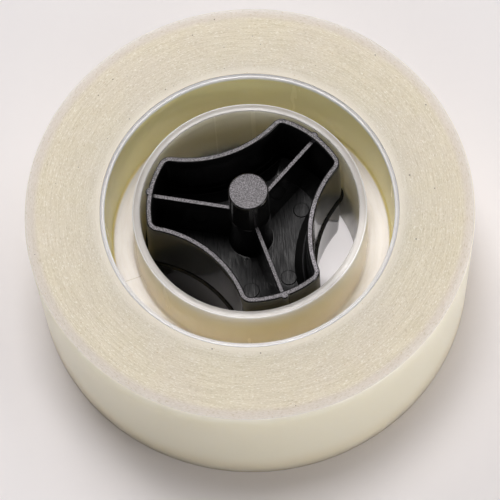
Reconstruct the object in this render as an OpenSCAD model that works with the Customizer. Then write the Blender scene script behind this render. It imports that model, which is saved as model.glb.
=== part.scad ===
// Roll of adhesive tape on a moulded core, with the three-lobed hub that carries the roll in a dispenser.
// The frame's origin is on the roll's axis, in the plane of its lower end face; +Z is up along the axis.

/* [Tape] */
// Outer diameter of the wound tape
tape_d = 53; // [45:0.5:65]
// Width of the tape, which is the height of the roll lying down
tape_w = 19; // [17:0.5:25]

/* [Core] */
// Outer diameter of the core, on which the tape is wound
core_d = 35.3; // [34.6:0.1:38]
// Thickness of the core's outer wall at its rims
core_wall = 0.53; // [0.4:0.01:1]
// Diameter of the bore that takes the hub
bore_d = 25.85; // [25.75:0.05:26.4]
// Thickness of the inner ring at its rims
ring_wall = 0.94; // [0.6:0.02:1.4]
// Depth of the inner ring's rims below the end faces of the roll
ring_inset = 0.58; // [0:0.02:1.5]
// Thickness of the web that joins the outer wall to the inner ring
web_t = 1; // [0.8:0.1:2]
// Draft of the walls beside the web, from rim to web
core_draft = 0.2; // [0:0.05:0.3]
// Radius of the fillets along the web
core_fillet = 0.34; // [0.1:0.02:0.6]

/* [Hub] */
// Height of the hub from rim to rim
hub_h = 19.2; // [16:0.1:25]
// Height of the hub's lower rim above the roll's lower end face
hub_lift = 0.05; // [0:0.05:1]
// Radius of the lobe ends at the rims
lobe_r = 12.2; // [11.6:0.05:12.3]
// Radius of the waists between the lobes at the rims
waist_r = 7.75; // [6.5:0.05:9]
// Radius of the hollow flanks between the lobes
flank_r = 13.5; // [11:0.1:18]
// Radius of the rounded corners of the lobes
corner_r = 1.4; // [1:0.05:2]
// Direction of the first lobe, in degrees from +X
lobe_turn = 46.2; // [0:0.1:120]
// Thickness of the hub's wall at its rims
hub_wall = 0.7; // [0.5:0.05:1]
// Thickness of the floor between the two cups
floor_t = 1; // [0.8:0.1:2]
// Growth of the outline from the rims to mid-height, as a ratio
outer_draft = 1.032; // [1:0.001:1.034]
// Shrinkage of a cup's outline from its rim to its floor, as a ratio
cup_draft = 0.98; // [0.95:0.005:1]
// How far the parting ridge at mid-height stands out from the wall
ridge_out = 0.26; // [0.1:0.01:0.28]
// Height of the parting ridge
ridge_h = 0.5; // [0.2:0.1:1]
// How far the crush rib on each lobe end stands out at the rims
crush_out = 0.25; // [0.1:0.01:0.26]
// Radius of the crush ribs
crush_r = 0.6; // [0.4:0.05:1]

/* [Ribs and pin] */
// Thickness of the ribs that tie the post to the lobe ends
rib_t = 0.53; // [0.4:0.01:1]
// Depth of the ribs' edges below the rims
rib_drop = 1.15; // [0.5:0.05:4]
// Radius of the post's top in the middle of each cup
post_r = 2.45; // [2.42:0.01:3]
// Radius of the post at the hub's middle plane
post_foot_r = 2.62; // [2.5:0.01:3.2]
// Radius of the axle pin
pin_r = 2.37; // [1.5:0.01:2.4]
// Height of the pin's tip above the upper rim
pin_out = 4.25; // [2:0.05:8]
// Rounding of the pin's tip
pin_round = 0.24; // [0.1:0.02:0.6]
// Depth below the rims at which the pin meets the thicker post
pin_root = 1.69; // [1:0.01:3]
// Radius of the ejector marks on the cup floors
mark_r = 1; // [0.5:0.1:1.4]
// Distance of the ejector marks from the axis
mark_at = 7; // [5:0.1:8.5]
// Angle between an ejector mark and its lobe's middle
mark_turn = 20; // [15:1:30]

/* [Hidden] */
$fn = 96;

core_r = core_d / 2;
bore_r = bore_d / 2;
roll_mid = tape_w / 2;
hub_mid = hub_lift + hub_h / 2;
cup_depth = (hub_h - floor_t) / 2;
lobe_turns = [for (i = [0:2]) lobe_turn + 120 * i];
mark_h = 0.1;     // height of the ejector marks above a cup's floor
neck_h = hub_h / 2 - rib_drop + 0.05;   // height of the pin's neck above the middle plane
neck_taper = 0.04;                      // how much thicker the neck is at the middle plane
overlap = 0.02;   // overlap of pieces that are fused or cut

// Points of an arc about centre c, from angle a0 to angle a1 in n steps, without the last point
function arc(c, r, a0, a1, n) = [
    for (i = [0:n - 1]) let (a = a0 + (a1 - a0) * i / n) c + r * [cos(a), sin(a)]
];

// One lobe, symmetrical about +X, of the outline grown by the ratio k and then outwards by out:
// half a flank, a corner, the lobe end, a corner and half a flank
function lobe(k, out) =
    let (
        end_r = lobe_r * k + out,
        round_r = corner_r * k + out,
        hollow_r = flank_r * k - out,
        hollow_at = (waist_r + flank_r) * k,
        far = end_r - round_r,
        reach = hollow_r + round_r,
        // Angle at the axis between a flank's centre and the centre of the corner beside it
        apart = acos((hollow_at ^ 2 + far ^ 2 - reach ^ 2) / (2 * hollow_at * far)),
        // Angle at the flank's centre between the axis and the centre of the corner
        swing = acos((hollow_at ^ 2 + reach ^ 2 - far ^ 2) / (2 * hollow_at * reach)),
        corner_a = 60 - apart,
        corner_c = far * [cos(corner_a), sin(corner_a)],
        hollow_c = hollow_at * [cos(60), sin(60)]
    ) concat(
        arc([hollow_c.x, -hollow_c.y], hollow_r, 120, 120 - swing, 7),
        arc([corner_c.x, -corner_c.y], round_r, -60 - swing, -corner_a, 6),
        arc([0, 0], end_r, -corner_a, corner_a, 8),
        arc(corner_c, round_r, corner_a, 60 + swing, 6),
        arc(hollow_c, hollow_r, swing - 120, -120, 7)
    );

// The whole three-lobed outline
function trilobe(k, out) = [
    for (turn = lobe_turns, p = lobe(k, out))
        [p.x * cos(turn) - p.y * sin(turn), p.x * sin(turn) + p.y * cos(turn)]
];

// Half of the core's section above its middle plane, from the bore outwards
function core_half() =
    let (
        web = web_t / 2,
        top = tape_w / 2,
        ring_r = bore_r + ring_wall,
        foot_r = ring_r + core_draft,
        wall_r = core_r - core_wall,
        heel_r = wall_r - core_draft,
        f = core_fillet
    ) concat(
        [[bore_r, top - ring_inset], [ring_r, top - ring_inset]],
        arc([foot_r + f, web + f], f, 180, 270, 4),
        [[foot_r + f, web]],
        arc([heel_r - f, web + f], f, 270, 360, 4),
        [[heel_r, web + f], [wall_r, top], [core_r, top]]
    );

// The wound tape
module tape_roll() {
    color([0.87, 0.82, 0.72])
        difference() {
            cylinder(h = tape_w, d = tape_d);
            translate([0, 0, -overlap]) cylinder(h = tape_w + 2 * overlap, d = core_d);
        }
}

// The moulded core: an outer wall and an inner ring joined by a web at mid-height
module core() {
    upper = core_half();
    lower = [for (i = [len(upper) - 1:-1:0]) [upper[i].x, -upper[i].y]];
    color([0.9, 0.88, 0.84])
        translate([0, 0, roll_mid])
            rotate_extrude() polygon(concat(upper, lower));
}

// The upper half of the hub's walls, with its cup, about the hub's middle plane
module hub_half() {
    difference() {
        linear_extrude(height = hub_h / 2, scale = 1 / outer_draft)
            scale(outer_draft) {
                polygon(trilobe(1, 0));
                for (turn = lobe_turns)
                    rotate(turn) translate([lobe_r + crush_out - crush_r, 0]) circle(crush_r, $fn = 24);
            }
        translate([0, 0, floor_t / 2])
            linear_extrude(height = cup_depth + overlap, scale = 1 / cup_draft)
                scale(cup_draft) polygon(trilobe(1, -hub_wall));
    }
}

// The ribs, the post and the ejector marks of the upper cup, about the hub's middle plane
module cup_parts() {
    rib_top = hub_h / 2 - rib_drop;
    for (turn = lobe_turns)
        rotate(turn) {
            translate([0, -rib_t / 2, 0]) cube([lobe_r - hub_wall / 2, rib_t, rib_top]);
            for (side = [-1, 1])
                rotate(side * mark_turn)
                    translate([mark_at, 0, 0]) cylinder(h = floor_t / 2 + mark_h, r = mark_r);
        }
    cylinder(h = hub_h / 2 - pin_root, r1 = post_foot_r, r2 = post_r);
}

// The axle pin, from the middle plane to its rounded tip at height tip. Its neck, up to the ribs' edges, tapers
module pin(tip) {
    cylinder(h = neck_h, r1 = pin_r + neck_taper, r2 = pin_r);
    translate([0, 0, neck_h]) cylinder(h = tip - pin_round - neck_h, r = pin_r);
    translate([0, 0, tip - pin_round])
        rotate_extrude()
            intersection() {
                square([pin_r, pin_round]);
                union() {
                    square([pin_r - pin_round, pin_round]);
                    translate([pin_r - pin_round, 0]) circle(pin_round, $fn = 24);
                }
            }
}

// The three-lobed hub: a cup on each side of a floor, with an axle pin standing out of the upper one
module hub() {
    color([0.09, 0.09, 0.1])
        translate([0, 0, hub_mid]) {
            hub_half();
            mirror([0, 0, 1]) hub_half();
            cup_parts();
            mirror([0, 0, 1]) cup_parts();
            pin(hub_h / 2 + pin_out);
            mirror([0, 0, 1]) pin(hub_h / 2);
            translate([0, 0, -ridge_h / 2])
                linear_extrude(height = ridge_h) polygon(trilobe(outer_draft, ridge_out));
        }
}

tape_roll();
core();
hub();
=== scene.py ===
"""Looks of a roll of translucent tape on its moulded core, with the three-lobed hub that carries it.

The CAD frame gives the places and outer sizes. Sizes here are in millimetres, and MM turns them into metres.
"""

import math

import bpy
from mathutils import Matrix, Vector


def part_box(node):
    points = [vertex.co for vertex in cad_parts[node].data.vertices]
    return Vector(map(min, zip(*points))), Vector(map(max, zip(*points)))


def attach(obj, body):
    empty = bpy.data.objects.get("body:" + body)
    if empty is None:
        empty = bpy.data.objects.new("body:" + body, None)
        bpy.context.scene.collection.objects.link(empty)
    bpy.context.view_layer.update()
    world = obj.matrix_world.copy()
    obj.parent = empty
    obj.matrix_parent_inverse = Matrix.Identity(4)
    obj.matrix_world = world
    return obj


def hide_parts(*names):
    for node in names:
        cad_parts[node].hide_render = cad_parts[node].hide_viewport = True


MM = 0.001
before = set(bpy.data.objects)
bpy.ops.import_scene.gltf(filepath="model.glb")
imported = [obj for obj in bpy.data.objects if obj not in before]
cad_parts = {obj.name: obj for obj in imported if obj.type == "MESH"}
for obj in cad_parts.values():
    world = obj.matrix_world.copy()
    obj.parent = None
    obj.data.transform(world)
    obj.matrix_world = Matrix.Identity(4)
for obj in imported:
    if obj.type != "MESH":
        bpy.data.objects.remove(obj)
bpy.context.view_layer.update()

# ---------------------------------------------------------------- sizes, in millimetres

TAPE_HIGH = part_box("tape_roll")[1] / MM
CORE_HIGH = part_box("core")[1] / MM
HUB_LOW, HUB_HIGH = (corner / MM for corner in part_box("hub"))

ROLL_R = TAPE_HIGH.x        # outside of the wound tape
ROLL_H = TAPE_HIGH.z        # width of the tape
CORE_R = CORE_HIGH.x        # outside of the core
MIDDLE = ROLL_H / 2         # height of the core's web

CORE_WALL = 0.53            # outer wall's thickness at its rims
BORE_R = 12.925             # bore that takes the hub
RING_WALL = 0.94            # inner ring's thickness at its rims
RING_INSET = 0.58           # inner ring's rims below the roll's faces
WEB_HALF = 0.5              # half the web's thickness
CORE_DRAFT = 0.2            # draft of the walls beside the web
CORE_FILLET = 0.34          # fillets along the web
EDGE = 0.10                 # rounding of the core's rims
TAPE_SIDE_EDGE = 0.07       # and of the rim's edge beside the tape
RING_R = BORE_R + RING_WALL         # inner ring's outside at its rims
RING_TOP = MIDDLE - RING_INSET      # height of its rims over the web's middle
WALL_R = CORE_R - CORE_WALL         # outer wall's inside at its rims
HEEL_R = WALL_R - CORE_DRAFT        # and beside the web

HUB_H = 19.2                # hub from rim to rim
HUB_HALF = HUB_H / 2
HUB_MIDDLE = HUB_LOW.z + HUB_HALF
LOBE_R = 12.2               # lobe ends at the rims
WAIST_R = 7.75              # waists between the lobes
FLANK_R = 13.5              # hollow flanks
CORNER_R = 1.4              # lobe corners
LOBE_TURN = 46.2            # direction of the first lobe, in degrees
HUB_WALL = 0.7              # hub's wall at its rims
HUB_FLOOR = 0.5             # half the floor's thickness
OUTER_DRAFT = 1.032         # growth of the outline towards mid-height
CUP_DRAFT = 0.98            # shrinkage of a cup towards its floor
RIDGE_OUT = 0.25            # how far the parting ridge stands out at its crest
CRUSH_OUT = 0.25            # how far the crush ribs on the lobe ends stand out
CRUSH_R = 0.6               # radius of the crush ribs
RIM_ROUND = 0.2             # rounding of the rims' outer edges
CUP_ROUND = 0.14            # rounding of the rims' inner edges
FLOOR_LIP = 0.45            # width and rise of the curved lip near the foot of a cup's wall
RIB_T = 0.53                # ribs' thickness
RIB_DROP = 1.15             # ribs' edges below the rims
RIB_FOOT = 0.08             # how much wider a rib's foot is on each side
RIB_EDGE = 0.07             # rounding of the ribs' edges
RIB_START = 1.4             # ribs' inner ends, hidden in the post
SUNK = 0.3                  # height over the middle plane of the hidden bottoms of ribs and marks
POST_TOP_R = 2.45           # post at its top
POST_FOOT_R = 2.62          # and at its foot
POST_FILLET = 0.12          # fillet round the post's foot
PIN_R = 2.37                # axle pin
PIN_ROUND = 0.24            # rounding of its tip
PIN_ROOT = 1.69             # where it meets the post, below the rims
PIN_STEP = 0.05             # half the height of the step between them
MARK_R = 1.0                # ejector marks on the cup floors
MARK_AT = 7.0               # their distance from the axis
MARK_TURN = 20.0            # their angle from the lobe's middle
MARK_H = 0.1                # their height

# ---------------------------------------------------------------- mesh helpers


def make_object(name, points, faces):
    """A mesh object from points in millimetres."""
    mesh = bpy.data.meshes.new(name)
    mesh.from_pydata([Vector(p) * MM for p in points], [], faces)
    mesh.update()
    made = bpy.data.objects.new(name, mesh)
    bpy.context.scene.collection.objects.link(made)
    return made


def smooth(made, angle=32):
    """Smooth shading, with edges sharper than the angle left sharp."""
    made.data.shade_smooth()
    made.data.set_sharp_from_angle(angle=math.radians(angle))


def around(centre, radius, angles):
    """Points about a centre, at angles in degrees."""
    turns = [math.radians(a) for a in angles]
    return [(centre[0] + radius * math.cos(t), centre[1] + radius * math.sin(t)) for t in turns]


def arc(centre, radius, start, end, steps):
    """Points of an arc from one angle to another, without its last point."""
    return around(centre, radius, [start + (end - start) * i / steps for i in range(steps)])


def quarter(centre, radius, start, steps):
    """Points of an anticlockwise quarter circle from an angle, with both its ends."""
    return around(centre, radius, [start + 90 * i / steps for i in range(steps + 1)])


def quads(here, there, count):
    """Faces between two closed rings of points, from the numbers of the rings' first points."""
    return [(here + j, here + (j + 1) % count, there + (j + 1) % count, there + j) for j in range(count)]


def lathe(name, section, segments):
    """A ring turned about Z. section(angle) gives its closed outline as (radius, height) points."""
    points, faces = [], []
    for i in range(segments):
        angle = 2 * math.pi * i / segments
        ring = section(angle)
        points += [(r * math.cos(angle), r * math.sin(angle), z) for r, z in ring]
    count = len(ring)
    for i in range(segments):
        faces += quads(i * count, (i + 1) % segments * count, count)
    made = make_object(name, points, faces)
    made.data.flip_normals()
    return made


# ---------------------------------------------------------------- wound tape

TURNS_PITCH = 0.2           # spacing of the ridges that groups of turns make on the end faces
TURNS_DEPTH = 0.035         # how deep they go
FACE_STEP = 0.1             # radial step of the end faces' mesh
EASE_STEPS = 3              # steps over which the ridges fade out at both edges of a face
TAPE_EDGE = 0.07            # rounding of the outer turn's edges
SIDE_STEPS = 6              # steps of the mesh up the roll's side
TAPE_SEGMENTS = 432
WAVES = ((0.381, 0.0, 1.0), (0.773, 2.2, 0.8), (1.237, 4.1, 0.6), (0.052, 1.3, 0.9))   # rate, phase, size


def wander(turn):
    """How far a turn's edge lies below the end face, from 0 to 1, as the strip is followed round."""
    total = sum(size * math.sin(2 * math.pi * rate * turn + phase) for rate, phase, size in WAVES)
    return 0.5 + 0.5 * total / sum(size for _, _, size in WAVES)


def tape_section(angle):
    """Section of the wound tape, with the fine ridges of its turns on both end faces."""
    edge_r = ROLL_R - TAPE_EDGE
    steps = round((edge_r - CORE_R) / FACE_STEP)
    top, bottom = [], []
    for i in range(steps + 1):
        r = CORE_R + (edge_r - CORE_R) * i / steps
        turn = (r - CORE_R) / TURNS_PITCH - angle / (2 * math.pi)
        ease = min(1, i / EASE_STEPS, (steps - i) / EASE_STEPS)
        top.append((r, ROLL_H - TURNS_DEPTH * ease * wander(turn)))
        bottom.append((r, TURNS_DEPTH * ease * wander(turn + 0.5)))
    low = quarter((edge_r, TAPE_EDGE), TAPE_EDGE, -90, 3)[1:]
    high = quarter((edge_r, ROLL_H - TAPE_EDGE), TAPE_EDGE, 0, 3)[:-1]
    side = [(ROLL_R, ROLL_H * i / SIDE_STEPS) for i in range(1, SIDE_STEPS)]
    return bottom + low + side + high + top[::-1]


# ---------------------------------------------------------------- moulded core

CORE_SEGMENTS = 288


def core_section(_angle):
    """Section of the core: outer wall, web and inner ring, with rounded rims."""
    f, e, t = CORE_FILLET, EDGE, TAPE_SIDE_EDGE
    upper = (
        quarter((BORE_R + e, RING_TOP - e), e, 90, 3)[::-1]
        + quarter((RING_R - e, RING_TOP - e), e, 0, 3)[::-1]
        + quarter((RING_R + CORE_DRAFT + f, WEB_HALF + f), f, 180, 5)
        + quarter((HEEL_R - f, WEB_HALF + f), f, 270, 5)
        + quarter((WALL_R + e, MIDDLE - e), e, 90, 3)[::-1]
        + quarter((CORE_R - t, MIDDLE - t), t, 0, 3)[::-1]
    )
    lower = [(r, -z) for r, z in reversed(upper)]
    return [(r, z + MIDDLE) for r, z in reversed(upper + lower)]


# ---------------------------------------------------------------- hub

FLANK_STEPS = 8
CORNER_STEPS = 7
END_SHARES = (0.028, 0.055, 0.08, 0.1, 0.112, 0.125, 0.18, 0.3, 0.5, 0.75)   # places on half a lobe end
MARK_STEPS = 28
LOBES = [LOBE_TURN + 120 * i for i in range(3)]
RIDGE = ((0.09, 0.22), (0.17, 0.15), (0.22, 0.06), (0.28, 0))   # height and reach of its upper loops
WALL_LOOPS = (1.5, 4, 6.5, 8.5)     # heights of the outer wall's loops over the middle plane
CUP_LOOPS = (7.5, 5, 2.5)           # and of the cup wall's
FLOOR_LOOPS = (0.25, 0.5, 0.75, 1)  # shares of the way from the lip to the post's fillet
TIP_LOOPS = (1.5, 0.8, 0.25)        # radii on the pin's flat end


def lobe_end(end_r, corner_a, crush):
    """A lobe's end about +X between its two corners, with its crush rib if asked."""
    rib_at = end_r + CRUSH_OUT - CRUSH_R
    points = []
    for share in (-1, *(-s for s in reversed(END_SHARES)), 0, *END_SHARES):
        a = math.radians(corner_a * share)
        r = end_r
        if crush and abs(rib_at * math.sin(a)) < CRUSH_R:
            r = max(r, rib_at * math.cos(a) + math.sqrt(CRUSH_R**2 - (rib_at * math.sin(a)) ** 2))
        points.append((r * math.cos(a), r * math.sin(a)))
    return points


def lobe(grow, out, crush):
    """One lobe about +X, of the outline grown by a ratio and then outwards by out."""
    end_r = LOBE_R * grow + out
    round_r = CORNER_R * grow + out
    hollow_r = FLANK_R * grow - out
    hollow_at = (WAIST_R + FLANK_R) * grow
    far = end_r - round_r
    reach = hollow_r + round_r
    apart = math.degrees(math.acos((hollow_at**2 + far**2 - reach**2) / (2 * hollow_at * far)))
    swing = math.degrees(math.acos((hollow_at**2 + reach**2 - far**2) / (2 * hollow_at * reach)))
    corner_a = 60 - apart
    corner = Vector((math.cos(math.radians(corner_a)), math.sin(math.radians(corner_a)))) * far
    hollow = Vector((0.5, math.sqrt(0.75))) * hollow_at
    return (
        arc((hollow.x, -hollow.y), hollow_r, 120, 120 - swing, FLANK_STEPS)
        + arc((corner.x, -corner.y), round_r, -60 - swing, -corner_a, CORNER_STEPS)
        + lobe_end(end_r, corner_a, crush)
        + arc(corner, round_r, corner_a, 60 + swing, CORNER_STEPS)
        + arc(hollow, hollow_r, swing - 120, -120, FLANK_STEPS)
    )


def outline(grow, out, crush=False):
    """The whole three-lobed outline, with crush ribs if asked."""
    turns = [Matrix.Rotation(math.radians(a), 2) for a in LOBES]
    return [turn @ Vector(p) for turn in turns for p in lobe(grow, out, crush)]


SPOKES = [math.atan2(p.y, p.x) for p in outline(1, 0)]


def circle(radius):
    """A circle with one point at the polar angle of each point of the outline."""
    return [Vector((radius * math.cos(a), radius * math.sin(a))) for a in SPOKES]


def between(first, second, share):
    """A loop part of the way from one loop to another."""
    return [a.lerp(b, share) for a, b in zip(first, second)]


def grown(z):
    """Growth of the outer outline at a height over the middle plane."""
    return 1 + (OUTER_DRAFT - 1) * (1 - z / HUB_HALF)


def shrunk(z):
    """Shrinkage of the cup's outline at a height over the middle plane."""
    return 1 - (1 - CUP_DRAFT) * (HUB_HALF - z) / (HUB_HALF - HUB_FLOOR)


def wall_loops():
    """Loops up the outer wall from the ridge, and over its rim."""
    rim = quarter((-RIM_ROUND, HUB_HALF - RIM_ROUND), RIM_ROUND, 0, 4)
    return (
        [(outline(grown(z), out, out == 0), z) for z, out in RIDGE]
        + [(outline(grown(z), 0, True), z) for z in WALL_LOOPS]
        + [(outline(grown(z), out, True), z) for out, z in rim]
    )


def cup_loops():
    """Loops down the cup's wall, up over the lip, down a slope to the floor and across it to the post."""
    rim = quarter((CUP_ROUND - HUB_WALL, HUB_HALF - CUP_ROUND), CUP_ROUND, 90, 3)
    lip = quarter((-HUB_WALL - FLOOR_LIP, HUB_FLOOR + FLOOR_LIP), -FLOOR_LIP, 180, 4)
    loops = (
        [(outline(1, out), z) for out, z in rim]
        + [(outline(shrunk(z), -HUB_WALL), z) for z in CUP_LOOPS]
        + [(outline(shrunk(z), out), z) for out, z in lip]
    )
    lip_end = loops[-1][0]
    post_foot = circle(POST_FOOT_R + POST_FILLET)
    return loops + [(between(lip_end, post_foot, share), HUB_FLOOR) for share in FLOOR_LOOPS]


def post_loops(tip):
    """Loops up the post and the pin, as (radius, height), to the pin's end at the height tip."""
    shoulder = HUB_HALF - PIN_ROOT
    profile = [
        (POST_FOOT_R + POST_FILLET / 4, HUB_FLOOR + POST_FILLET / 4),
        (POST_FOOT_R - 0.01, HUB_FLOOR + POST_FILLET + 0.02),
        ((POST_FOOT_R + POST_TOP_R) / 2, (HUB_FLOOR + shoulder) / 2),
        (POST_TOP_R, shoulder - PIN_STEP),
        (PIN_R + 0.02, shoulder),
        (PIN_R, shoulder + PIN_STEP),
    ]
    profile += quarter((PIN_R - PIN_ROUND, tip - PIN_ROUND), PIN_ROUND, 0, 5)
    profile += [(r, tip) for r in TIP_LOOPS]
    return [(circle(r), z) for r, z in profile]


def hub_shell():
    """The hub without its ribs: one closed skin lofted through loops from tip to tip."""
    upper = wall_loops() + cup_loops() + post_loops(HUB_HIGH.z - HUB_MIDDLE)
    lower = wall_loops() + cup_loops() + post_loops(HUB_HALF)
    loops = [(p, z) for p, z in reversed(upper)] + [(outline(OUTER_DRAFT, RIDGE_OUT), 0)]
    loops += [(p, -z) for p, z in lower]
    points = [(p.x, p.y, z + HUB_MIDDLE) for loop, z in loops for p in loop]
    count = len(SPOKES)
    faces = []
    for i in range(len(loops) - 1):
        faces += quads(i * count, (i + 1) * count, count)
    last = (len(loops) - 1) * count
    points += [(0, 0, loops[0][1] + HUB_MIDDLE), (0, 0, loops[-1][1] + HUB_MIDDLE)]
    first_pole, last_pole = len(points) - 2, len(points) - 1
    faces += [(first_pole, (j + 1) % count, j) for j in range(count)]
    faces += [(last_pole, last + j, last + (j + 1) % count) for j in range(count)]
    made = make_object("hub_body", points, faces)
    made.data.flip_normals()
    return made


def close_prism(first, count, rings, faces):
    """Adds the sides and both ends of a solid made of rings of points, from its first point's number."""
    for ring in range(rings - 1):
        faces += quads(first + ring * count, first + (ring + 1) * count, count)
    faces.append(tuple(first + j for j in reversed(range(count))))
    faces.append(tuple(first + (rings - 1) * count + j for j in range(count)))


def add_rib(side, turn, points, faces):
    """Adds one rib of the upper (side 1) or lower (side -1) cup, along a lobe."""
    half, top = RIB_T / 2, HUB_HALF - RIB_DROP
    foot = half + RIB_FOOT
    section = (
        [(-foot, SUNK), (foot, SUNK)]
        + quarter((half - RIB_EDGE, top - RIB_EDGE), RIB_EDGE, 0, 3)
        + quarter((RIB_EDGE - half, top - RIB_EDGE), RIB_EDGE, 90, 3)
    )
    first = len(points)
    rotation = Matrix.Rotation(math.radians(turn), 3, "Z")
    for along in (RIB_START, LOBE_R - HUB_WALL / 2):
        ring = [rotation @ Vector((along, across, HUB_MIDDLE + side * z)) for across, z in section[::side]]
        points += [tuple(p) for p in ring]
    close_prism(first, len(section), 2, faces)


def add_mark(side, turn, points, faces):
    """Adds one ejector mark, a low disc with a sloping edge, on a cup's floor."""
    first = len(points)
    centre = Vector(around((0, 0), MARK_AT, [turn])[0])
    for r, z in ((MARK_R, SUNK), (MARK_R, HUB_FLOOR + 0.01), (MARK_R - MARK_H, HUB_FLOOR + MARK_H)):
        for i in range(MARK_STEPS):
            t = side * 2 * math.pi * i / MARK_STEPS
            points.append((centre.x + r * math.cos(t), centre.y + r * math.sin(t), HUB_MIDDLE + side * z))
    close_prism(first, MARK_STEPS, 3, faces)


def hub_ribs():
    """The ribs and ejector marks of both cups, as closed solids that reach into the shell."""
    points, faces = [], []
    for side in (1, -1):
        for turn in LOBES:
            add_rib(side, turn, points, faces)
            add_mark(side, turn - MARK_TURN, points, faces)
            add_mark(side, turn + MARK_TURN, points, faces)
    return make_object("hub_ribs", points, faces)


def fuse(body, tool):
    """Unites tool with body and removes it."""
    union = body.modifiers.new("union", "BOOLEAN")
    union.operation = "UNION"
    union.solver = "EXACT"
    union.object = tool
    graph = bpy.context.evaluated_depsgraph_get()
    body.data = bpy.data.meshes.new_from_object(body.evaluated_get(graph))
    body.modifiers.clear()
    bpy.data.objects.remove(tool)


# ---------------------------------------------------------------- materials


class Nodes:
    """A material's node tree, with short calls for the nodes used here."""

    def __init__(self, name):
        self.material = bpy.data.materials.new(name)
        self.material.use_nodes = True
        self.tree = self.material.node_tree
        self.shader = self.tree.nodes["Principled BSDF"]
        self.place()

    def add(self, kind, **settings):
        made = self.tree.nodes.new("ShaderNode" + kind)
        for key, value in settings.items():
            setattr(made, key, value)
        return made

    def put(self, socket, value):
        """Sets a socket to a value, or links it to another socket."""
        if isinstance(value, bpy.types.NodeSocket):
            self.tree.links.new(value, socket)
        else:
            socket.default_value = value

    def set(self, **inputs):
        """Sets the shader's own inputs; an underscore in a name stands for a space."""
        for key, value in inputs.items():
            self.put(self.shader.inputs[key.replace("_", " ")], value)

    def math(self, operation, a, b=0.0):
        made = self.add("Math", operation=operation)
        self.put(made.inputs[0], a)
        self.put(made.inputs[1], b)
        return made.outputs[0]

    def times(self, a, b):
        return self.math("MULTIPLY", a, b)

    def plus(self, a, b):
        return self.math("ADD", a, b)

    def minus(self, a, b):
        return self.math("SUBTRACT", a, b)

    def ramp(self, value, low, high, start=0.0, end=1.0):
        """Maps low..high to start..end, smoothly."""
        made = self.add("MapRange", interpolation_type="SMOOTHSTEP")
        for socket, v in zip(made.inputs[:5], (value, low, high, start, end)):
            self.put(socket, v)
        return made.outputs[0]

    def mix(self, share, a, b):
        made = self.add("Mix", data_type="RGBA")
        self.put(made.inputs["Factor"], share)
        self.put(made.inputs["A"], a if isinstance(a, bpy.types.NodeSocket) else (*a, 1))
        self.put(made.inputs["B"], b if isinstance(b, bpy.types.NodeSocket) else (*b, 1))
        return made.outputs["Result"]

    def noise(self, vector, scale, detail=2.0, rough=0.5):
        made = self.add("TexNoise")
        self.put(made.inputs["Vector"], vector)
        self.put(made.inputs["Scale"], scale)
        self.put(made.inputs["Detail"], detail)
        self.put(made.inputs["Roughness"], rough)
        return made.outputs["Fac"]

    def place(self):
        """Keeps the point in millimetres, its x, y and z, and its distance from the axis."""
        scale = self.add("VectorMath", operation="SCALE")
        self.put(scale.inputs[0], self.add("TexCoord").outputs["Object"])
        scale.inputs["Scale"].default_value = 1 / MM
        self.point = scale.outputs[0]
        split = self.add("SeparateXYZ")
        self.put(split.inputs[0], self.point)
        self.x, self.y, self.z = split.outputs
        length = self.add("VectorMath", operation="LENGTH")
        self.put(length.inputs[0], self.vector(self.x, self.y, 0.0))
        self.radius = length.outputs["Value"]

    def vector(self, x, y, z):
        made = self.add("CombineXYZ")
        for socket, value in zip(made.inputs, (x, y, z)):
            self.put(socket, value)
        return made.outputs[0]

    def bump(self, height, depth, strength=1.0):
        """Bump from a height of 0..1 that stands for a depth in millimetres."""
        made = self.add("Bump")
        self.put(made.inputs["Height"], height)
        made.inputs["Distance"].default_value = depth * MM
        made.inputs["Strength"].default_value = strength
        self.put(self.shader.inputs["Normal"], made.outputs[0])


def specks(nodes, per_mm, share, size):
    """A mask of small scattered dots: share of the cells have one, size is its radius in cells."""
    cells = nodes.add("TexVoronoi", feature="F1")
    nodes.put(cells.inputs["Vector"], nodes.point)
    nodes.put(cells.inputs["Scale"], per_mm)
    split = nodes.add("SeparateColor")
    nodes.put(split.inputs[0], cells.outputs["Color"])
    chosen = nodes.math("LESS_THAN", split.outputs[0], share)
    radius = nodes.times(nodes.plus(split.outputs[1], 0.35), size)
    dot = nodes.math("LESS_THAN", cells.outputs["Distance"], radius)
    return nodes.times(chosen, dot)


def along_turns(nodes, per_mm, per_radian):
    """Noise stretched along the turns of the tape."""
    a = nodes.times(nodes.math("DIVIDE", nodes.x, nodes.radius), per_radian)
    b = nodes.times(nodes.math("DIVIDE", nodes.y, nodes.radius), per_radian)
    return nodes.noise(nodes.vector(nodes.times(nodes.radius, per_mm), a, b), 1.0, 2.0, 0.6)


EVEN = (1.0, 1.0, 1.0)      # light spreads equally far in every colour
TAPE_FACE = (0.77, 0.71, 0.575)
TAPE_FACE_DARK = (0.68, 0.62, 0.48)
# painted glints: pale dashes along the turns that stand for highlights
TAPE_PAINTED_GLINT = (0.95, 0.92, 0.84)
TAPE_HAIRLINE = (0.50, 0.43, 0.29)
TAPE_BAND = (0.70, 0.635, 0.575)
TAPE_BAND_DARK = (0.65, 0.585, 0.52)
TAPE_HEEL = (0.785, 0.73, 0.62)
TAPE_SIDE = (0.955, 0.865, 0.69)
# painted shade: the side's foot darker and yellower, for the warm shade where the roll meets the table
TAPE_SIDE_PAINTED_SHADE = (0.91, 0.79, 0.57)
TAPE_SIDE_SHADE_HEIGHT = 6         # height over which the painted shade at the side's foot fades upwards
DUST = (0.13, 0.10, 0.07)
FLECK = (0.55, 0.42, 0.24)
BAND_OUT = 1.6              # width of the greyer band of outer turns
BAND_IN = 1.3               # and of the paler inner turns
TAPE_SPREAD = 0.004         # how far light spreads in the film, in metres
SPREAD_FROM, SPREAD_TO = CORE_R + 0.3, CORE_R + 1.5     # it starts away from the core's wall


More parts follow.
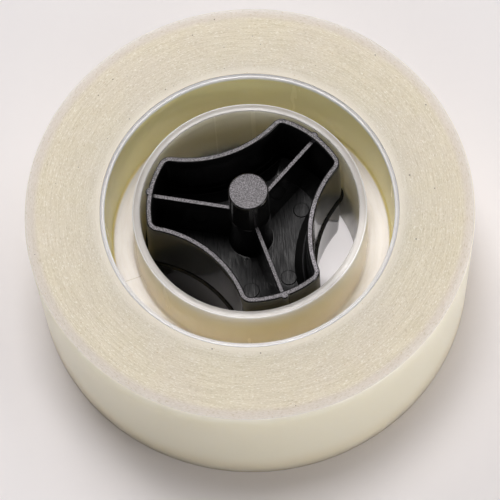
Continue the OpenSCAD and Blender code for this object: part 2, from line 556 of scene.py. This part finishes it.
def tape_face(n, lines, dashes):
    """Colour of the end faces: layer lines, painted glints, the bands of outer and inner turns, and dust."""
    drift = n.noise(n.point, 0.12, 3.0, 0.6)
    face = n.mix(n.ramp(lines, 0.35, 0.65), TAPE_FACE_DARK, TAPE_FACE)
    face = n.mix(n.ramp(drift, 0.35, 0.7, 0.0, 0.3), face, TAPE_BAND)
    outer = n.ramp(n.radius, ROLL_R - BAND_OUT, ROLL_R - BAND_OUT / 2, 0.0, 0.8)
    face = n.mix(outer, face, n.mix(n.ramp(dashes, 0.3, 0.7), TAPE_BAND_DARK, TAPE_BAND))
    # Painted highlights: pale dashes along the turns, kept off the outer band
    painted_glints = n.ramp(dashes, 0.56, 0.70, 0.0, 0.75)
    face = n.mix(n.times(painted_glints, n.minus(1.0, outer)), face, TAPE_PAINTED_GLINT)
    face = n.mix(n.ramp(dashes, 0.43, 0.29, 0.0, 0.6), face, TAPE_HAIRLINE)
    face = n.mix(n.ramp(n.radius, CORE_R, CORE_R + BAND_IN, 0.9, 0.0), face, TAPE_HEEL)
    face = n.mix(n.times(specks(n, 1.1, 0.16, 0.085), 0.75), face, DUST)
    return n.mix(n.times(specks(n, 2.3, 0.30, 0.14), 0.55), face, FLECK)


def tape_material():
    """Wound translucent film: fine layer lines, dust and painted glints on the end faces, a smooth milky
    outer turn with painted shade at its foot.
    """
    n = Nodes("tape_film")
    lines = along_turns(n, 7.0, 6.0)
    dashes = along_turns(n, 9.5, 70.0)
    side = n.ramp(n.radius, ROLL_R - 0.09, ROLL_R - 0.04)
    # Painted shade: the side darkens and yellows towards the table
    side_colour = n.mix(n.ramp(n.z, 0, TAPE_SIDE_SHADE_HEIGHT), TAPE_SIDE_PAINTED_SHADE, TAPE_SIDE)
    n.set(
        Base_Color=n.mix(side, tape_face(n, lines, dashes), side_colour),
        Roughness=n.ramp(side, 0, 1, 0.5, 0.32),
        Subsurface_Weight=n.ramp(n.radius, SPREAD_FROM, SPREAD_TO),
        Subsurface_Radius=EVEN,
        Subsurface_Scale=TAPE_SPREAD,
    )
    height = n.plus(n.times(lines, 0.35), n.times(dashes, 0.65))
    n.bump(n.times(height, n.minus(1.0, side)), 0.06)
    return n.material


CORE_PLAIN = (0.90, 0.90, 0.96)
CORE_STREAK = (0.835, 0.825, 0.855)
CORE_RIM_SHADE = (0.62, 0.60, 0.60)           # painted shade on the outer rim's flat, between its bright edges, for light that sinks into the translucent wall
CORE_RING_RIM_SHADE = (0.42, 0.40, 0.375)     # and the painted shade on the inner ring's
CORE_WALL_TAPE_AND_GLOW = (0.995, 0.79, 0.36)    # the outer wall's inside: the tape's yellow showing through, with a painted glow of light that comes through the tape
# painted shade: the ring's outside darker and bluer, for the shade in the channel and against yellow light
# bounced off the wall
CORE_RING_SHADE = (0.71, 0.735, 0.79)
# painted glow: the bore's walls warmer and brighter, for light that comes through the translucent ring
CORE_BORE_GLOW = (0.97, 0.88, 0.72)
CORE_SPREAD = 0.002         # how far light spreads in the plastic, in metres
WELD = (0.68, 0.67, 0.67)
WELD_TURN = -163.5          # direction of the weld line across the web, in degrees from +X


def weld_line(n, deep):
    """A mask of the hairline across both faces of the web, on one side of the axis."""
    a = math.radians(WELD_TURN)
    along = n.plus(n.times(n.x, math.cos(a)), n.times(n.y, math.sin(a)))
    across = n.minus(n.times(n.x, math.sin(a)), n.times(n.y, math.cos(a)))
    line = n.ramp(n.math("ABSOLUTE", across), 0.03, 0.08, 1.0, 0.0)
    half = n.times(line, n.math("GREATER_THAN", along, 0.0))
    return n.times(half, n.ramp(deep, WEB_HALF + 0.3, WEB_HALF + 0.5, 1.0, 0.0))


def rim_shade_masks(n, deep):
    """Masks of the painted shade on the middles of the outer rims and of the inner ring's rims."""
    from_middle = n.math("ABSOLUTE", n.minus(n.radius, CORE_R - CORE_WALL / 2))
    outer_mid = n.ramp(from_middle, 0.04, 0.13, 1.0, 0.0)
    outer = n.times(outer_mid, n.ramp(deep, MIDDLE - 0.06, MIDDLE - 0.03))
    ring_mid = n.ramp(n.radius, RING_R - EDGE, RING_R - 2 * EDGE)
    ring = n.times(ring_mid, n.ramp(deep, RING_TOP - 0.2, RING_TOP - 0.06))
    return outer, ring


def core_colour(n, flow):
    """Colour of the core, from the web to the walls and the rims, with painted shade and painted glow."""
    deep = n.math("ABSOLUTE", n.minus(n.z, MIDDLE))
    below = n.ramp(deep, MIDDLE - 0.7, MIDDLE - 0.05, 1.0, 0.0)
    wall = n.times(n.ramp(n.radius, HEEL_R - 0.42, HEEL_R - 0.07), below)
    ring = n.ramp(n.radius, RING_R, RING_R + 0.25, 1.0, 0.0)
    bore = n.ramp(n.radius, BORE_R + 0.1, BORE_R + 0.35, 1.0, 0.0)
    outer_rim_shade, ring_rim_shade = rim_shade_masks(n, deep)
    colour = n.mix(n.ramp(flow, 0.4, 0.65, 0.0, 0.6), CORE_PLAIN, CORE_STREAK)
    colour = n.mix(weld_line(n, deep), colour, WELD)
    # Painted shade on the ring's outside
    colour = n.mix(ring, colour, CORE_RING_SHADE)
    # Painted glow on the bore's walls
    colour = n.mix(bore, colour, CORE_BORE_GLOW)
    # The tape's yellow through the outer wall, with painted glow
    colour = n.mix(wall, colour, CORE_WALL_TAPE_AND_GLOW)
    # Painted shade on the rims' flats
    colour = n.mix(ring_rim_shade, colour, CORE_RING_RIM_SHADE)
    return n.mix(outer_rim_shade, colour, CORE_RIM_SHADE)


def core_material():
    """Glossy translucent moulding, yellower where the tape shows through its thin outer wall, with painted
    glow there and on the bore, and painted shade on the rims and the ring's outside.
    """
    n = Nodes("core_plastic")
    flow_at = n.vector(n.times(n.radius, 2.5), n.times(n.x, 0.35), n.times(n.y, 0.35))
    flow = n.noise(flow_at, 1.0, 3.0, 0.6)
    n.set(
        Base_Color=core_colour(n, flow),
        Roughness=n.ramp(flow, 0.3, 0.7, 0.17, 0.28),
        Subsurface_Weight=1.0,
        Subsurface_Radius=EVEN,
        Subsurface_Scale=CORE_SPREAD,
    )
    n.bump(flow, 0.02, 0.5)
    return n.material


HUB_WALL_BLACK = (0.006, 0.006, 0.006)
HUB_FLOOR_BLACK = (0.008, 0.008, 0.009)
HUB_GRAIN_DARK = (0.02, 0.018, 0.02)
HUB_GRAIN_PALE = (0.28, 0.26, 0.285)
HUB_IOR = 1.5


def hub_gloss(name, level, low, high):
    """Polished black walls of a specular level, with roughness from low to high."""
    n = Nodes(name)
    streak = n.noise(n.vector(n.times(n.x, 1.2), n.times(n.y, 1.2), n.times(n.z, 0.12)), 1.0)
    n.set(
        Base_Color=(*HUB_WALL_BLACK, 1),
        Roughness=n.ramp(streak, 0.3, 0.7, low, high),
        IOR=HUB_IOR,
        Specular_IOR_Level=level,
    )
    n.bump(streak, 0.03, 0.25)
    return n.material


def hub_grain():
    """Finely grained black: rims, rib edges and the pin's end."""
    n = Nodes("hub_grain")
    grain = n.noise(n.point, 7.5, 3.0, 0.7)
    n.set(
        Base_Color=n.mix(n.ramp(grain, 0.40, 0.64), HUB_GRAIN_DARK, HUB_GRAIN_PALE),
        Roughness=n.ramp(grain, 0.3, 0.7, 0.38, 0.55),
        IOR=HUB_IOR,
    )
    n.bump(grain, 0.02, 0.7)
    return n.material


def hub_floor():
    """Satin black cup floors with fine tool marks."""
    n = Nodes("hub_floor")
    marks = n.noise(n.vector(n.times(n.x, 6.0), n.times(n.y, 0.5), n.z), 1.0, 3.0, 0.6)
    n.set(
        Base_Color=(*HUB_FLOOR_BLACK, 1),
        Roughness=n.ramp(marks, 0.35, 0.65, 0.24, 0.5),
        IOR=HUB_IOR,
        Specular_IOR_Level=0.2,
    )
    n.bump(marks, 0.04, 0.8)
    return n.material


# ---------------------------------------------------------------- the pieces


def build_tape():
    made = lathe("tape_winding", tape_section, TAPE_SEGMENTS)
    smooth(made, angle=40)
    made.data.materials.append(tape_material())
    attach(made, "roll")
    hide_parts("tape_roll")


def build_core():
    made = lathe("core_moulding", core_section, CORE_SEGMENTS)
    smooth(made)
    made.data.materials.append(core_material())
    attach(made, "roll")
    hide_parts("core")


OUTSIDE_R = 5               # nearer the axis than this, no face is on the outer wall
OUTER_WALL, CUP, GRAINED, CUP_FLOOR = range(4)      # the hub's materials, in build_hub's order


def hub_surface(face):
    """The number of a hub face's material. Cup walls and rounded edges share one."""
    if abs(face.normal.z) > 0.97:
        above = abs(face.center.z / MM - HUB_MIDDLE)
        return GRAINED if above > HUB_FLOOR + 1 else CUP_FLOOR
    away = face.center.xy
    outward = face.normal.xy.dot(away.normalized()) > 0.12
    steep = abs(face.normal.z) <= 0.3
    return OUTER_WALL if steep and outward and away.length / MM > OUTSIDE_R else CUP


def build_hub():
    made = hub_shell()
    fuse(made, hub_ribs())
    made.name = "hub_moulding"
    made.data.materials.clear()
    outer = hub_gloss("hub_gloss", 0.55, 0.06, 0.12)
    inner = hub_gloss("hub_cup_walls", 0.3, 0.12, 0.2)
    for material in (outer, inner, hub_grain(), hub_floor()):
        made.data.materials.append(material)
    for face in made.data.polygons:
        face.material_index = hub_surface(face)
    smooth(made)
    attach(made, "hub")
    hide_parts("hub")


# ---------------------------------------------------------------- floor, light and camera

FLOOR_HALF = 1500           # half the floor's side, in millimetres
TABLE = (0.86, 0.838, 0.848)
TABLE_DARK = [0.985 * c for c in TABLE]
LIGHT_FAR = 0.62            # metres from a lamp to what it is aimed at
LIGHT_COLOUR = (1.0, 0.975, 0.965)
WORLD_COLOUR = (1.0, 0.98, 0.98)
WORLD_STRENGTH = 0.05


def build_floor():
    corners = [(x * FLOOR_HALF, y * FLOOR_HALF, 0) for x, y in ((-1, -1), (1, -1), (1, 1), (-1, 1))]
    made = make_object("floor", corners, [(0, 1, 2, 3)])
    n = Nodes("floor_paper")
    fibre = n.noise(n.point, 0.6, 4.0, 0.6)
    n.set(Base_Color=n.mix(fibre, TABLE_DARK, TABLE), Roughness=0.7, Specular_IOR_Level=0.2)
    made.data.materials.append(n.material)


def aim(lamp, elevation, azimuth, target=(0, 0, 0)):
    """Puts a lamp LIGHT_FAR from a target in millimetres, at an elevation and azimuth in degrees."""
    up, turn = math.radians(elevation), math.radians(azimuth)
    towards = Vector((math.cos(up) * math.cos(turn), math.cos(up) * math.sin(turn), math.sin(up)))
    lamp.location = Vector(target) * MM + towards * LIGHT_FAR
    lamp.rotation_euler = towards.to_track_quat("Z", "Y").to_euler()
    bpy.context.scene.collection.objects.link(lamp)


def soft_box(name, elevation, azimuth, size, power):
    """A square area light, aimed at the origin: angles in degrees, size in metres, power in watts."""
    data = bpy.data.lights.new(name, "AREA")
    data.shape = "SQUARE"
    data.size = size
    data.energy = power
    data.color = LIGHT_COLOUR
    aim(bpy.data.objects.new(name, data), elevation, azimuth)


def spot(name, elevation, azimuth, at, radius, power):
    """A soft-edged spot light on a circle of the table, with its centre and radius in millimetres."""
    data = bpy.data.lights.new(name, "SPOT")
    data.energy = power
    data.color = LIGHT_COLOUR
    data.shadow_soft_size = 0.001
    data.spot_size = 2 * math.atan(radius * MM / LIGHT_FAR)
    data.spot_blend = 0.5
    aim(bpy.data.objects.new(name, data), elevation, azimuth, (*at, 0))


def build_light():
    # Name, elevation, azimuth, size and power
    soft_box("key", 77, 98, 0.22, 1.95)
    soft_box("back_right", 60, 40, 0.25, 0.55)
    soft_box("back_left", 43, 112, 0.30, 0.85)
    soft_box("side_right", 7, 332, 0.25, 1.7)
    soft_box("side_left", 14, 200, 0.25, 0.35)
    soft_box("front", 40, 258, 0.25, 0.4)
    # And a spot through the gap on the right of the hub, on a circle of the table
    spot("gap", 70, 267, (9.9, 2.2), 2.9, 11)
    world = bpy.data.worlds.new("studio")
    world.use_nodes = True
    background = world.node_tree.nodes["Background"]
    background.inputs["Color"].default_value = (*WORLD_COLOUR, 1)
    background.inputs["Strength"].default_value = WORLD_STRENGTH
    bpy.context.scene.world = world


CAMERA_AT = Vector((-0.28, -115.59, 275.4)) * MM
CAMERA_ELEVATION = 66.76    # degrees above the horizon
CAMERA_ROLL = -4.05         # degrees about its own view axis
CAMERA_LENS = 172.15        # focal length on a 36 mm sensor


def build_camera():
    data = bpy.data.cameras.new("camera")
    data.sensor_width = 36
    data.lens = CAMERA_LENS
    data.clip_start = 0.01
    data.clip_end = 10
    made = bpy.data.objects.new("camera", data)
    tilt = Matrix.Rotation(math.radians(90 - CAMERA_ELEVATION), 4, "X")
    roll = Matrix.Rotation(math.radians(CAMERA_ROLL), 4, "Z")
    made.matrix_world = Matrix.Translation(CAMERA_AT) @ tilt @ roll
    bpy.context.scene.collection.objects.link(made)
    bpy.context.scene.camera = made


build_camera()
build_floor()
build_light()
build_tape()
build_core()
build_hub()
bpy.context.scene.view_settings.view_transform = "Standard"
